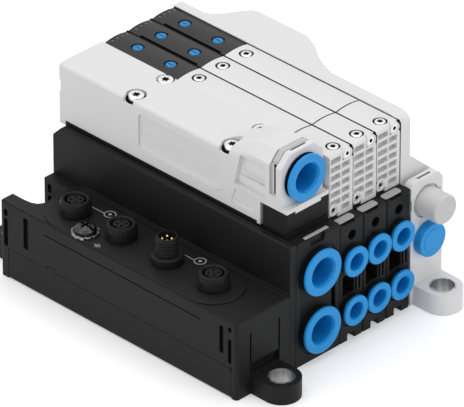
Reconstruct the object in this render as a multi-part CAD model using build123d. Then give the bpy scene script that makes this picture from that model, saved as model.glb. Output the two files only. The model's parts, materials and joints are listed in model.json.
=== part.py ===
from build123d import *
from math import cos, sin, radians
import os

os.makedirs("parts", exist_ok=True)

# =====================================================================================
# Pneumatic valve island: an electrical interface, a supply slice, three valve slices
# and an end plate, side by side along X.  Millimetres.  The port face looks towards -Y.
# Places along X are counted from the left side of the supply base and places along Y
# from the port face; save() moves the finished pieces so that the origin lies in the
# middle of the four mounting holes, on the mounting plane.
# =====================================================================================

# ---- the row -------------------------------------------------------------------------
PITCH = 11.5                 # width of one valve slice
VALVES = 3
SUPPLY_W = 21.3              # width of the supply slice
END_W = 16.0                 # width of the end plate at its foot
DEPTH = 115.0                # port face to the rear of the row
SEAM = 0.15                  # half of the open seam between two slices
BASE_TOP = 47.5              # top of the sub-bases
SUPPLY_TOP = 48.8            # top of the supply base
VALVE_TOP = 72.4             # at the sides of a valve, whose top is arched by CROWN
CROWN = 0.6
VALVE_FRONT = 5.3
X_END = SUPPLY_W + VALVES * PITCH

# ---- push-in fittings ----------------------------------------------------------------
# tube radius, mouth radius, rim radius, sleeve radius, cartridge radius, front, depth
SMALL = dict(tube=3.0, mouth=3.45, rim=5.68, sleeve=4.2, cart=5.2, front=-2.7, depth=15.0)
LARGE = dict(tube=5.0, mouth=5.8, rim=8.75, sleeve=6.7, cart=8.2, front=-2.8, depth=19.0)
RIM_T = 1.2                  # thickness of a release ring's rim
OUTLET_DX = 5.8              # outlet axis from the left side of its slice
OUTLET_Z = (32.0, 12.35)
SUPPLY_X = SUPPLY_W / 2
SUPPLY_Z = (35.1, 11.9)
CAP_PORT = (SUPPLY_X, 69.3)  # port in the supply cap
CAP_PORT_Y = 7.9             # plane that this port's fitting is counted from
CAP_FITTING = dict(LARGE, depth=14.5)
RAIL_TOP = 50.85             # rail of the supply base that the cap's skirt stands on

# ---- air passages --------------------------------------------------------------------
GALLERY_Y = (32.0, 48.0, 64.0)   # exhaust, supply, exhaust: run the length of the row
GALLERY_Z = 24.0
GALLERY_R = 3.5
WORK_Y = (40.0, 56.0)            # working air of outlet rows 0 and 1
WORK_R = 1.6
DROP_R = 1.3

# ---- electrical interface ------------------------------------------------------------
IF_LEFT = -28.6              # outer face
IF_TOP = 30.4                # deck
SLAB_T = 3.0                 # left end plate behind the deck
SLAB_TOP = 49.7
CONN_X = -16.8               # connector row
SOCKET_Y = (89.6, 67.2, 22.7)
PLUG_Y = 45.0
OVAL_X, OVAL_R, OVAL_Y = -17.0, 11.2, (22.6, 88.6)
OVAL_TOP = IF_TOP + 0.7

# ---- mounting ------------------------------------------------------------------------
EAR_R = 7.1
EAR_OUT = 7.4                # hole centre in front of the port face
EAR_X = (-14.6, 64.7)
EAR_TOP = (7.3, 8.0)
BUSH_R, BUSH_BORE = 4.75, 4.2    # thin rolled bush for an M8 screw
MOUNT_Y = (-EAR_OUT, DEPTH + EAR_OUT)

# ---- manual overrides and spools -----------------------------------------------------
BUTTON_R, BUTTON_DX = 1.95, 5.6
BUTTON_Y = (87.0, 103.2)
SPOOL_Z, SPOOL_R = 60.5, 3.0
SPOOL_END, BORE_END = 70.0, 71.9     # the spool shifts 1.5 mm either way in its bore
COVER_Y = 78.4               # joint between the valve body and its pilot unit
FRONT_Y = 24.9               # joint between the valve body and its front cap


# ---- shapes --------------------------------------------------------------------------
def block(x0, x1, y0, y1, z0, z1):
    return Pos((x0 + x1) / 2, (y0 + y1) / 2, (z0 + z1) / 2) * Box(x1 - x0, y1 - y0, z1 - z0)


def rod_x(y, z, r, x0, x1):
    return Pos((x0 + x1) / 2, y, z) * Rot(0, 90, 0) * Cylinder(r, x1 - x0)


def rod_y(x, z, r, y0, y1):
    return Pos(x, (y0 + y1) / 2, z) * Rot(90, 0, 0) * Cylinder(r, y1 - y0)


def rod_z(x, y, r, z0, z1):
    return Pos(x, y, (z0 + z1) / 2) * Cylinder(r, z1 - z0)


def turned_y(points, x, z):
    """A turned piece on an axis along Y through (x, z); points are (radius, y)."""
    return Pos(x, 0, z) * revolve(make_face(Polyline(*points, close=True)), Axis.Y)


def turned_z(points, x, y):
    """A turned piece on a vertical axis through (x, y); points are (radius, z)."""
    upright = [(r, 0, z) for r, z in points]
    return Pos(x, y, 0) * revolve(make_face(Polyline(*upright, close=True)), Axis.Z)


def plate_z(points, z0, z1):
    """A prism with the plan outline given."""
    return Pos(0, 0, z0) * extrude(make_face(Polyline(*points, close=True)), z1 - z0)


def plate_x(points, x0, x1):
    """A prism along X with the outline given as (y, z)."""
    outline = make_face(Polyline(*[(0, y, z) for y, z in points], close=True))
    return Pos(x0, 0, 0) * extrude(outline, x1 - x0, dir=(1, 0, 0))


def plate_y(points, y0, y1):
    """A prism along Y with the outline given as (x, z)."""
    outline = make_face(Polyline(*[(x, y0, z) for x, z in points], close=True))
    return extrude(outline, y1 - y0, dir=(0, 1, 0))


def crowned(x0, x1, y0, y1, z0, z1, rise=CROWN):
    """A block along Y whose top is arched across its width."""
    arch = ThreePointArc((x0, y0, z1), ((x0 + x1) / 2, y0, z1 + rise), (x1, y0, z1))
    sides = Polyline((x1, y0, z1), (x1, y0, z0), (x0, y0, z0), (x0, y0, z1))
    return extrude(make_face([arch, sides]), y1 - y0, dir=(0, 1, 0))


def arched_block(x0, x1, y0, y1, z0, z1, corner):
    """A block along Y with round upper corners."""
    body = block(x0, x1, y0, y1, z0, z1)
    upper = [e for x in (x0, x1) for e in edges_at(body, Axis.Y, x=(x - .1, x + .1), z=(z1 - .1, z1 + .1))]
    return fillet(upper, corner)


def edges_at(part, axis, **limits):
    """Edges parallel to an axis whose middle lies inside the limits."""
    found = []
    for edge in part.edges().filter_by(axis):
        c = edge.center()
        if all(low <= getattr(c, key) <= high
               for key, (low, high) in ((k.upper(), v) for k, v in limits.items())):
            found.append(edge)
    return found


def save(name, shape):
    middle = ((EAR_X[0] + EAR_X[1]) / 2, DEPTH / 2)
    export_step(Pos(-middle[0], -middle[1], 0) * shape, f"parts/{name}.step")


# ---- push-in fittings ----------------------------------------------------------------
def release_ring(size, x, z, face=0.0):
    """Collar with a sleeve; pushed towards +Y it lets the tube go."""
    front = size["front"] + face
    back, bore = front + RIM_T, size["tube"] + 0.1
    end = face + 6.0
    return turned_y([(bore, end), (size["sleeve"], end), (size["sleeve"], back),
                     (size["rim"], back), (size["rim"], front + 0.3),
                     (size["rim"] - 0.3, front), (size["mouth"], front),
                     (bore, front + 2 * (size["mouth"] - bore))], x, z)


def cartridge(size, x, z, face=0.0):
    """Body of a push-in fitting: room for the sleeve, the tube seat and its stop."""
    sleeve, tube = size["sleeve"] + 0.04, size["tube"] + 0.1
    collar, lip = size["rim"] - 0.25, face - 0.3
    stop, end = face + size["depth"] - 2.0, face + size["depth"]
    return turned_y([(sleeve, lip), (collar, lip), (collar, face), (size["cart"], face),
                     (size["cart"], end), (tube - 0.9, end), (tube - 0.9, stop),
                     (tube, stop), (tube, face + 7.6), (sleeve, face + 7.6)], x, z)


def seat(size, x, z, face=0.0):
    """The hole that a cartridge is pressed into."""
    return rod_y(x, z, size["cart"] + 0.02, face - 1, face + size["depth"] + 0.02)


# ---- electrical interface on the left ------------------------------------------------
def oval(radius, z0, z1):
    y0, y1 = OVAL_Y
    body = block(OVAL_X - radius, OVAL_X + radius, y0, y1, z0, z1)
    return body + [rod_z(OVAL_X, y, radius, z0, z1) for y in OVAL_Y]


def ear(x, side, top):
    """Rounded foot with the hole for its bush; side is -1 in front, +1 behind."""
    y = MOUNT_Y[0] if side < 0 else MOUNT_Y[1]
    root = 0.8 if side < 0 else DEPTH - 0.8
    tongue = block(x - EAR_R, x + EAR_R, min(y, root), max(y, root), 0, top)
    foot = tongue + rod_z(x, y, EAR_R, 0, top)
    return foot, rod_z(x, y, BUSH_R + 0.02, -1, top + 1)


POCKET_X = (-22.95, -7.3)    # open pocket in the deck above the rear ear
left, inner = IF_LEFT, -SLAB_T - 0.03
pocket = [(POCKET_X[0], DEPTH + 1), (POCKET_X[0], 109.0), (-22.6, 105.8), (-21.6, 103.6),
          (-19.5, 102.4), (POCKET_X[1], 102.4), (POCKET_X[1], DEPTH + 1)]
housing = block(left, inner, 0, DEPTH, 0, IF_TOP)
housing = fillet(edges_at(housing, Axis.Z, x=(left - .1, left + .1)), 1.2)
housing = chamfer(edges_at(housing, Axis.Y, x=(left - .1, left + .1), z=(IF_TOP - .1, IF_TOP + .1)), 0.5)
housing -= plate_z(pocket, EAR_TOP[0], IF_TOP + 1)
front_ear, front_hole = ear(EAR_X[0], -1, EAR_TOP[0])
rear_ear, rear_hole = ear(EAR_X[0], 1, EAR_TOP[0])
housing = housing + front_ear + rear_ear - front_hole - rear_hole
# hollow above the front ear, the slits beside it, and the slots and lines of the outer face
HOLLOW_TOP, HOLLOW = 12.6, 1.7
slits = (EAR_X[0] - EAR_R - 0.1, EAR_X[0] + EAR_R - 0.6)
housing -= plate_x([(-0.1, HOLLOW_TOP), (HOLLOW, HOLLOW_TOP - 3.0), (HOLLOW, EAR_TOP[0] + 0.6),
                    (0.0, EAR_TOP[0] + 0.6), (-0.1, EAR_TOP[0] + 1.0)], *slits)
for x in slits:
    housing -= block(x - 0.35, x + 0.35, -1, 1.2, HOLLOW_TOP, 24.4)
    housing -= block(x - 0.2, x + 0.2, -1, 0.8, EAR_TOP[0] + 0.3, HOLLOW_TOP + 0.1)
for y0, y1, z0, z1 in ((111.3, 113.2, 12.6, 23.9), (111.3, 113.2, 24.7, 27.5),
                       (2.5, 4.1, 13.6, 23.4), (2.5, 4.1, 26.2, 28.2),
                       (101.2, 103.5, 15.5, 28.0), (6.3, 8.2, 16.3, 27.2)):
    slot = block(left - 1, left + 1.4, y0, y1, z0, z1)
    housing -= fillet(slot.edges().filter_by(Axis.X), 0.7)
housing -= block(left - 1, left + 0.35, 17.2, 93.2, 25.1, 25.6)
PANEL_T, PANEL_Z = 1.3, 12.0
housing -= block(left - 1, left + PANEL_T + 0.05, 2.5, 111.3, -1, PANEL_Z + 0.15)
TAB = (88.1, 91.9)
housing -= block(left - 1, left + PANEL_T + 0.05, TAB[0] - 0.1, TAB[1] + 0.1, 0, PANEL_Z + 1.5)
for z0, z1 in ((24.8, 28.1), (20.9, 23.6)):                       # windows of the rear pillar
    housing -= block(POCKET_X[1] - 1, POCKET_X[1] + 1.0, 111.6, 113.3, z0, z1)
# passages for the connectors and the earth screw
for y in SOCKET_Y + (PLUG_Y,):
    housing -= rod_z(CONN_X, y, 4.6, IF_TOP - 10, IF_TOP + 1)
EARTH, EARTH_R = (-24.0, 77.4), 2.0     # M4 screw
housing -= rod_z(*EARTH, EARTH_R + 0.05, IF_TOP - 8, IF_TOP + 1)
# base plate lets in from below
housing -= block(left + 1.5, inner - 1.2, 2.0, 100.8, -1, 1.6)
save("interface_housing", housing)

save("interface_base", block(left + 1.55, inner - 1.25, 2.05, 100.75, 0.2, 1.57))

panel = plate_x([(2.6, 0.4), (2.6, 10.2), (3.1, 11.6), (4.3, PANEL_Z),
                 (TAB[0], PANEL_Z), (TAB[0], PANEL_Z + 1.3), (TAB[1], PANEL_Z + 1.3),
                 (TAB[1], PANEL_Z), (111.2, PANEL_Z), (111.2, 0.4)], left, left + PANEL_T)
save("label_panel", panel)

slab = plate_x([(0, 0), (0, SLAB_TOP), (DEPTH - 4, SLAB_TOP), (DEPTH, SLAB_TOP - 4),
                (DEPTH, 0)], -SLAB_T, -0.03)
slab = chamfer(edges_at(slab, Axis.Y, x=(-SLAB_T - .1, -SLAB_T + .1), z=(SLAB_TOP - 1, SLAB_TOP + 1)), 0.5)
slab += block(-SLAB_T - 1.8, -SLAB_T, 0.2, 101.0, IF_TOP + 0.02, IF_TOP + 0.5)
save("left_end_plate", slab)

deck_plate = oval(OVAL_R, IF_TOP + 0.02, OVAL_TOP)
deck_plate = chamfer(deck_plate.edges().group_by(Axis.Z)[-1], 0.25)
for y in SOCKET_Y + (PLUG_Y,):
    deck_plate -= rod_z(CONN_X, y, 4.6, IF_TOP - 1, OVAL_TOP + 1)
deck_plate -= rod_z(*EARTH, EARTH_R + 0.05, IF_TOP - 1, OVAL_TOP + 1)
save("connector_plate", deck_plate)

# round sockets: a stepped collar around a four-way insert
SOCKET_TOP, PLUG_TOP = 36.7, 41.3
PIN_PCD, PIN_TURN = 3.4, 45.0
pins = [(PIN_PCD / 2 * cos(radians(PIN_TURN + 90 * i)), PIN_PCD / 2 * sin(radians(PIN_TURN + 90 * i)))
        for i in range(4)]
inserts = []
for number, y in enumerate(SOCKET_Y, 1):
    z = OVAL_TOP + 0.02
    body = turned_z([(4.3, z - 6), (4.55, z - 6), (4.55, z), (5.4, z), (5.65, z + 0.3), (5.65, z + 3.7),
                     (5.3, z + 4.2), (5.15, SOCKET_TOP - 0.5), (4.8, SOCKET_TOP), (4.2, SOCKET_TOP),
                     (3.75, SOCKET_TOP - 0.6), (3.75, z + 1.0), (4.3, z + 1.0)], CONN_X, y)
    body -= rod_z(CONN_X - 5.85, y, 0.6, z + 0.6, z + 3.0)
    save(f"socket_body_{number}", body)
    core = turned_z([(0, z - 8), (3.72, z - 8), (3.72, z - 1), (3.0, z - 1), (3.0, SOCKET_TOP - 0.6),
                     (2.8, SOCKET_TOP - 0.4), (0, SOCKET_TOP - 0.4)], CONN_X, y)
    for dx, dy in pins:
        core -= rod_z(CONN_X + dx, y + dy, 0.5, SOCKET_TOP - 6, SOCKET_TOP + 1)
    core -= rod_z(CONN_X - 2.9, y, 0.45, z, SOCKET_TOP + 1)
    inserts.append(core)
save("socket_inserts", Compound(inserts))

z = OVAL_TOP + 0.02
shell = [(4.3, z - 6), (4.55, z - 6), (4.55, z), (5.5, z), (5.75, z + 0.3), (5.75, z + 2.7), (5.2, z + 3.2),
         (3.7, z + 3.2), (3.7, z + 3.4)]
for i in range(6):
    foot = z + 3.4 + i * 1.0
    shell += [(4.0, foot + 0.25), (4.0, foot + 0.5), (3.7, foot + 0.75)]
shell += [(3.7, PLUG_TOP - 0.3), (3.4, PLUG_TOP), (3.15, PLUG_TOP), (3.15, z + 1.0), (4.3, z + 1.0)]
save("plug_body", turned_z(shell, CONN_X, PLUG_Y))
core = rod_z(CONN_X, PLUG_Y, 3.1, z - 8, z + 3.0)
for dx, dy in pins:
    core -= rod_z(CONN_X + dx, PLUG_Y + dy, 0.5, z - 2, PLUG_TOP)
save("plug_insert", core)
save("plug_pins", Compound([turned_z([(0, z - 2), (0.49, z - 2), (0.49, PLUG_TOP - 1.3), (0.2, PLUG_TOP - 0.9),
                                      (0, PLUG_TOP - 0.9)], CONN_X + dx, PLUG_Y + dy) for dx, dy in pins]))

WASHER_R, TEETH = 5.0, 12            # toothed washer, dished up at its edge
washer = turned_z([(EARTH_R + 0.1, OVAL_TOP + 0.02), (WASHER_R, OVAL_TOP + 0.02), (WASHER_R, OVAL_TOP + 1.1),
                   (WASHER_R - 0.7, OVAL_TOP + 1.1), (WASHER_R - 0.9, OVAL_TOP + 0.6),
                   (EARTH_R + 0.1, OVAL_TOP + 0.6)], *EARTH)
for i in range(TEETH):
    turn = radians(360 / TEETH * (i + 0.5))
    washer -= rod_z(EARTH[0] + (WASHER_R + 0.2) * cos(turn), EARTH[1] + (WASHER_R + 0.2) * sin(turn), 0.65,
                    OVAL_TOP - 1, OVAL_TOP + 2)
save("earth_washer", washer)
head, head_r, slot = OVAL_TOP + 0.62, 3.9, 0.5
screw = turned_z([(0, head - 7), (EARTH_R, head - 7), (EARTH_R, head), (head_r, head), (head_r, head + 1.6),
                  (head_r - 0.7, head + 2.5), (1.4, head + 2.9), (0, head + 2.9)], *EARTH)
screw -= block(EARTH[0] - slot, EARTH[0] + slot, EARTH[1] - 4, EARTH[1] + 4, head + 1.7, head + 3)
screw -= block(EARTH[0] - 2.0, EARTH[0] + 2.0, EARTH[1] - slot, EARTH[1] + slot, head + 1.3, head + 3)
save("earth_screw", screw)

bushes = []
for x, top in zip(EAR_X, EAR_TOP):
    for y in MOUNT_Y:
        bush = rod_z(x, y, BUSH_R, 0.1, top + 0.15) - rod_z(x, y, BUSH_BORE, -1, top + 1)
        bush -= block(x - BUSH_R - 1, x - BUSH_BORE + 1, y - 0.15, y + 0.15, -1, top + 1)
        bushes.append(bush)
save("mounting_bushes", Compound(bushes))

# ---- supply slice --------------------------------------------------------------------
g_s, g_p, g_r = GALLERY_Y
base = block(0, SUPPLY_W - SEAM, 0, DEPTH - 3, 0, SUPPLY_TOP)
base = chamfer(edges_at(base, Axis.X, y=(-.1, .1), z=(SUPPLY_TOP - .1, SUPPLY_TOP + .1)), 0.8)
base += block(0.8, 16.4, 0.3, 4.1, SUPPLY_TOP - 1, SUPPLY_TOP + 0.45)         # holder of the label
base += block(0.3, 2.6, 19.4, DEPTH - 3, SUPPLY_TOP - 1, RAIL_TOP)
base -= plate_y([(6.6, SUPPLY_TOP + 1), (14.4, SUPPLY_TOP + 1), (13.4, 46.0), (7.1, 46.0)], -1, 1.0)
base -= block(2.0, 18.0, -1, 0.8, 16.0, 31.0)                     # recess between the two ports
base -= block(18.0, 19.1, -1, 6.0, 16.0, 26.6)
base -= block(1.8, 2.1, -1, 0.8, 27.0, 41.0)
for z in SUPPLY_Z:
    base -= seat(LARGE, SUPPLY_X, z) + rod_y(SUPPLY_X, z, 9.8, -1, 0.5)
base -= rod_y(SUPPLY_X, 32.0, GALLERY_R, 19, g_p) + rod_z(SUPPLY_X, g_p, GALLERY_R, GALLERY_Z, 32.0)
base -= rod_y(SUPPLY_X, 12.5, GALLERY_R, 19, g_r) + rod_z(SUPPLY_X, g_r, GALLERY_R, 12.5, GALLERY_Z)
base -= rod_z(SUPPLY_X, g_s, GALLERY_R, 12.5, GALLERY_Z)
base -= rod_y(SUPPLY_X, GALLERY_Z, GALLERY_R, g_r, 74.0)
base -= rod_z(SUPPLY_X, 74.0, GALLERY_R, GALLERY_Z, SUPPLY_TOP + 1)
for y in GALLERY_Y:
    base -= rod_x(y, GALLERY_Z, GALLERY_R, SUPPLY_X, SUPPLY_W)
save("supply_base", base)

RISER_TOP = 58.9
TONGUE = (4.7, 16.9)                 # lower middle part of the port flange
riser = block(0.6, SUPPLY_W - SEAM, 5.3, 16.4, SUPPLY_TOP + 0.02, RISER_TOP)
riser = chamfer(edges_at(riser, Axis.Z, y=(5.2, 5.4)), 0.4)
riser -= block(0, SUPPLY_W, 4, 5.8, 50.6, 51.3)
riser -= block(TONGUE[0] - 0.05, TONGUE[1] + 0.05, 4, 17, RISER_TOP - 1.0, RISER_TOP + 1)
save("riser_block", riser)

labels = [block(4.9, 16.2, 0.5, 1.9, SUPPLY_TOP + 0.47, SUPPLY_TOP + 0.8)]

CAP_LEFT, CAP_RIGHT, CAP_TOP = 0.5, SUPPLY_W - SEAM, 72.8
SKIRT_Y, SKIRT_Z = 17.7, 50.9
px, pz = CAP_PORT
cap = block(CAP_LEFT, CAP_RIGHT, SKIRT_Y, DEPTH, SKIRT_Z, CAP_TOP)
cap = fillet(edges_at(cap, Axis.Y, x=(CAP_LEFT - .1, CAP_LEFT + .1), z=(CAP_TOP - .1, CAP_TOP + .1)), 1.4)
cap += block(CAP_LEFT + 2.2, CAP_RIGHT, SKIRT_Y, DEPTH, SUPPLY_TOP + 0.02, SKIRT_Z + 1)
cap += block(CAP_LEFT, CAP_LEFT + 1.8, SKIRT_Y, SKIRT_Y + 1.5, 49.9, SKIRT_Z + 1)
cap += block(CAP_LEFT, CAP_LEFT + 4, DEPTH - 2.9, DEPTH, SUPPLY_TOP + 0.2, SKIRT_Z + 1)
# the port's square flange, the groove behind it for the clip, and the ramp down to the cap
HALF, FLANGE_Y, GROOVE_Y, BODY_Y = 10.1, 5.0, 10.4, 13.5
FLANGE_BOTTOM, FLANGE_TOP, CREST, CORE = RISER_TOP + 0.05, 79.9, 79.5, 8.6
RAMP_CORNER, RAMP_END = 22.5, 38.3
cap += arched_block(px - HALF, px + HALF, FLANGE_Y, GROOVE_Y, FLANGE_BOTTOM, FLANGE_TOP, 4.4)
cap += block(*TONGUE, FLANGE_Y, GROOVE_Y, RISER_TOP - 0.95, FLANGE_BOTTOM + 1)
cap += arched_block(px - CORE, px + CORE, GROOVE_Y - 1, BODY_Y + 1, FLANGE_BOTTOM, FLANGE_TOP - 1.6, 3.4)
cap += block(px - HALF, px + HALF, GROOVE_Y - 1, BODY_Y + 1, FLANGE_BOTTOM, 63.9)
cap += arched_block(px - HALF, px + HALF, BODY_Y, SKIRT_Y + 0.1, FLANGE_BOTTOM, CREST, 4.4)
ramp = plate_x([(SKIRT_Y, CREST), (RAMP_CORNER, CREST), (RAMP_END, CAP_TOP), (RAMP_END, 66.0), (SKIRT_Y, 66.0)],
               px - HALF, px + HALF)
ramp = fillet(edges_at(ramp, Axis.X, y=(RAMP_CORNER - .1, RAMP_CORNER + .1)), 18.0)
ramp = fillet([e for e in ramp.edges().filter_by(Axis.Z, reverse=True)
               if e.center().Z > CAP_TOP and abs(e.center().X - px) > HALF - 1], 4.4)
cap += ramp
cap -= block(px - HALF - 1, px + HALF + 1, FLANGE_Y - 1, CAP_PORT_Y, FLANGE_BOTTOM + 1.45, FLANGE_TOP + 1)
# window of the left face with the round wall of the fitting inside, and a groove below that wall
WINDOW, WALL_R = 1.9, 9.5
window = [(15.4, 60.3), (15.4, 74.1), (27.3, 73.3), (30.2, 61.0)]
cap -= plate_x(window, CAP_LEFT - 1, CAP_LEFT + WINDOW)
wall = rod_y(px, pz, WALL_R, 14.5, 26.3)
wall = fillet(wall.edges().group_by(Axis.Y)[-1], 1.5)
cap += wall & block(0, px, 14.5, 27.0, 61.0, 74.0)
cap -= block(CAP_LEFT - 1, CAP_LEFT + WINDOW + 0.4, 15.4, 28.0, 64.3, 64.8)
# recesses of the left face: foot recess, label field, rear nick
cap -= plate_x([(19.7, 59.2), (29.7, 59.2), (31.6, 53.2), (20.6, 53.2)], CAP_LEFT - 1, CAP_LEFT + 0.5)
cap -= block(-1, CAP_LEFT + 0.5, 36.4, 76.4, 54.9, 69.2)
cap -= block(-1, CAP_LEFT + 0.5, DEPTH - 0.6, DEPTH + 1, 61.8, 66.2)
cap -= seat(CAP_FITTING, px, pz, CAP_PORT_Y)
cap -= rod_y(px, 66.0, GALLERY_R, 22, 74.0) + rod_z(px, 74.0, GALLERY_R, 40, 66.0)
CAP_SCREWS = ((4.5, 81.2), (18.5, 81.2), (4.6, 35.0), (18.5, 35.0))
for x, y in CAP_SCREWS:
    cap -= rod_z(x, y, 2.75, CAP_TOP - 2.1, CAP_TOP + 8) + rod_z(x, y, 1.3, SUPPLY_TOP - 1, CAP_TOP)
    if x < px:
        cap -= block(-1, x, y - 2.4, y + 2.4, CAP_TOP - 2.1, CAP_TOP + 8)
cap -= block(7.0, 14.3, 9.5, 10.2, FLANGE_TOP - 1.3, FLANGE_TOP + 1)
save("supply_cap", cap)
clip = arched_block(px - HALF + 0.05, px + HALF - 0.05, GROOVE_Y + 0.1, BODY_Y - 0.1, 76.5, FLANGE_TOP, 3.2)
clip -= arched_block(px - CORE - 0.05, px + CORE + 0.05, GROOVE_Y, BODY_Y, 70.0, FLANGE_TOP - 1.55, 3.4)
save("supply_clip", clip)


def star_screw(x, y, z, head_r, shank_r, length):
    """Countersunk screw with a star recess, its head flush with z."""
    body = turned_z([(0, z - length), (shank_r, z - length), (shank_r, z - 1.3), (head_r, z - 0.5),
                     (head_r, z), (0, z)], x, y)
    for i in range(3):
        body -= Pos(x, y, z) * Rot(0, 0, 60 * i) * Box(head_r * 1.05, head_r * 0.3, 1.4)
    return body


save("cap_screws", Compound([star_screw(x, y, CAP_TOP - 0.75, 2.6, 1.25, 21) for x, y in CAP_SCREWS]))
save("cap_cartridge", cartridge(CAP_FITTING, px, pz, CAP_PORT_Y))
save("cap_release_ring", release_ring(LARGE, px, pz, CAP_PORT_Y))
save("supply_cartridges", Compound([cartridge(LARGE, SUPPLY_X, z) for z in SUPPLY_Z]))
for number, z in enumerate(SUPPLY_Z, 1):
    save(f"supply_release_ring_{number}", release_ring(LARGE, SUPPLY_X, z))

# ---- valve slices --------------------------------------------------------------------
RUNG, RUNG_PITCH, RUNG_HALF = 52.0, 3.32, 0.6      # rungs across the front cap of a valve
PILOT_TOP, PILOT_CROWN, BUTTON_TOP = 72.2, 0.8, 72.85
cartridges, screws = [], []
for n in range(VALVES):
    origin = SUPPLY_W + n * PITCH
    x0, x1 = origin + SEAM, origin + PITCH - SEAM
    xc = origin + OUTLET_DX
    # sub-base with its two outlets, the galleries and the drops to the valve
    sub = block(x0, x1, 0, DEPTH - 3, 0, BASE_TOP)
    sub = chamfer(edges_at(sub, Axis.Z, y=(-.1, .1)), 0.3)
    sub -= block(xc - 1.9, xc + 1.7, -1, DEPTH, -1, 2.5)
    sub -= block(origin + 1.3, origin + 7.0, -1, 8.5, 18.7, 26.3)
    for dx in (7.45, 9.2):
        sub -= block(origin + dx, origin + dx + 0.8, -1, 5.0, 18.9, 26.0)
    sub -= block(origin + 1.3, origin + 7.1, -1, 1.7, 46.8, BASE_TOP + 1)         # finger room under the label
    sub -= rod_y(xc, 41.9, 1.9, -1, 4.0)
    for z, y in zip(OUTLET_Z, WORK_Y):
        sub -= seat(SMALL, xc, z) + rod_y(xc, z, 6.7, -1, 0.5)
        sub -= rod_y(xc + 1.4, z, WORK_R, SMALL["depth"] - 0.5, y)
        sub -= rod_z(xc + 1.4, y, WORK_R, z, BASE_TOP + 1)
        cartridges.append(cartridge(SMALL, xc, z))
    for y in GALLERY_Y:
        sub -= rod_x(y, GALLERY_Z, GALLERY_R, x0 - 1, x1 + 1)
        sub -= rod_z(xc - 2.6, y, DROP_R, GALLERY_Z, BASE_TOP + 1)
    save(f"sub_base_{n + 1}", sub)
    for row, z in enumerate(OUTLET_Z, 1):
        save(f"outlet_{n + 1}_release_ring_{row}", release_ring(SMALL, xc, z))
    strip = block(origin + 0.2, origin + 8.3, 1.0, 4.0, BASE_TOP + 0.02, BASE_TOP + 0.5)
    labels.append(fillet(strip.edges().filter_by(Axis.Z), 1.0))

    # valve body with the spool bore and its five ports
    foot, top = BASE_TOP + 0.02, VALVE_TOP
    body = crowned(x0, x1, FRONT_Y, COVER_Y, foot, top)
    body -= rod_y(xc, SPOOL_Z, SPOOL_R + 0.03, FRONT_Y - 1, BORE_END)
    body -= rod_y(xc + 2.4, SPOOL_Z, 0.6, BORE_END - 1, COVER_Y + 1)
    for y in WORK_Y:
        body -= rod_z(xc + 1.4, y, WORK_R, foot - 1, SPOOL_Z)
    for y in GALLERY_Y:
        body -= rod_z(xc - 2.6 + 1.2, y, DROP_R, foot - 1, SPOOL_Z)
    body -= rod_z(xc + 0.2, 73.6, 2.65, top - 1.2, top + 2) + rod_z(xc + 0.2, 73.6, 1.05, foot - 1, top)
    save(f"valve_body_{n + 1}", body)
    screws.append(star_screw(xc + 0.2, 73.6, top + 0.2, 2.5, 1.0, 24))

    lands = [(0, 29.0), (2.9, 29.0)]
    for y in (34.0, 42.0, 50.0, 58.0):
        lands += [(SPOOL_R, y - 4.6), (SPOOL_R, y - 1.4), (1.7, y - 1.0), (1.7, y + 1.0), (SPOOL_R, y + 1.4)]
    lands += [(SPOOL_R, SPOOL_END - 0.6), (2.9, SPOOL_END), (0, SPOOL_END)]
    save(f"spool_{n + 1}", turned_y(lands, xc, SPOOL_Z))

    # front cap: two columns of pockets between rungs, and a round boss at two corners
    shape = crowned(x0, x1, VALVE_FRONT, FRONT_Y - 0.1, foot, top)
    edge = [e for e in shape.edges() if e.center().Y < VALVE_FRONT + 0.1 and e.center().Z > top]
    shape = chamfer(edge, 0.6)
    front = shape
    for row in range(6):
        z0 = RUNG + row * RUNG_PITCH + RUNG_HALF
        z1 = z0 + RUNG_PITCH - 2 * RUNG_HALF
        front -= block(origin + 0.6, origin + 5.4, 4, VALVE_FRONT + 2.6, z0, min(z1, 71.3))
        front -= block(origin + 6.0, origin + 9.9, 4, VALVE_FRONT + 2.6, z0 - RUNG_PITCH, z1 - RUNG_PITCH)
    front -= block(origin + 6.0, origin + 9.9, 4, VALVE_FRONT + 2.6, 65.9, 67.5)
    front -= block(origin + 6.3, x1 + 1, 4, VALVE_FRONT + 1.4, 68.8, top + 2)
    front -= block(x0 - 1, origin + 4.2, 4, VALVE_FRONT + 1.4, foot - 1, 52.9)
    for x, z in ((xc + 3.06, 70.6), (xc - 3.6, 50.9)):
        front += rod_y(x, z, 2.3, VALVE_FRONT, VALVE_FRONT + 3.5) & shape
        front -= rod_y(x, z, 1.65, 4, VALVE_FRONT + 1.4)
        screws.append(turned_y([(0.75, VALVE_FRONT + 0.2), (1.6, VALVE_FRONT + 0.2), (1.6, VALVE_FRONT + 1.38),
                                (0, VALVE_FRONT + 1.38), (0, VALVE_FRONT + 1.0), (0.75, VALVE_FRONT + 1.0)], x, z))
    front -= rod_z(xc + 0.2, 9.6, 2.65, top - 1.2, top + 2) + rod_z(xc + 0.2, 9.6, 1.05, foot - 1, top)
    front -= rod_y(xc, SPOOL_Z, SPOOL_R + 0.03, FRONT_Y - 3, FRONT_Y + 1)
    save(f"valve_front_cap_{n + 1}", front)
    screws.append(star_screw(xc + 0.2, 9.6, top + 0.2, 2.5, 1.0, 24))

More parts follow.
